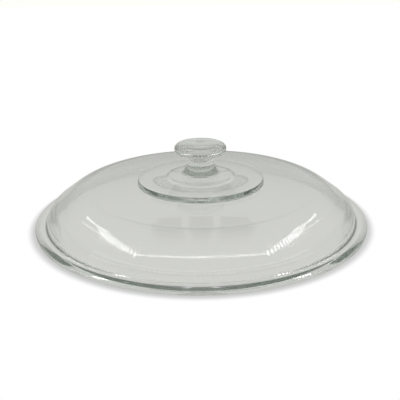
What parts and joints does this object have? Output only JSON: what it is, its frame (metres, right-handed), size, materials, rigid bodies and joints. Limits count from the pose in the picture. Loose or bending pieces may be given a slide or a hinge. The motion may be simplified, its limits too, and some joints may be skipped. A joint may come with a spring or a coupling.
{
  "type": "glass casserole lid",
  "caption": "Round clear pressed-glass lid for a casserole or slow cooker: low dome on a flat rim, raised round centre pad and a dished glass knob.",
  "frame": {"origin": "centre of the rim's underside, on the surface the lid stands on", "axes": "+Z is the lid's axis and points up through the knob; the lid is round, so X and Y are free"},
  "size_m": [0.254, 0.254, 0.0594],
  "materials": {
    "clear_glass": "fire-polished clear soda-lime glass, faintly green through its thickness"
  },
  "bodies": {
    "root": {"rim_flange": "clear_glass", "dome_shell": "clear_glass", "center_pad": "clear_glass", "knob_stem": "clear_glass", "knob_cap": "clear_glass"}
  },
  "joints": []
}
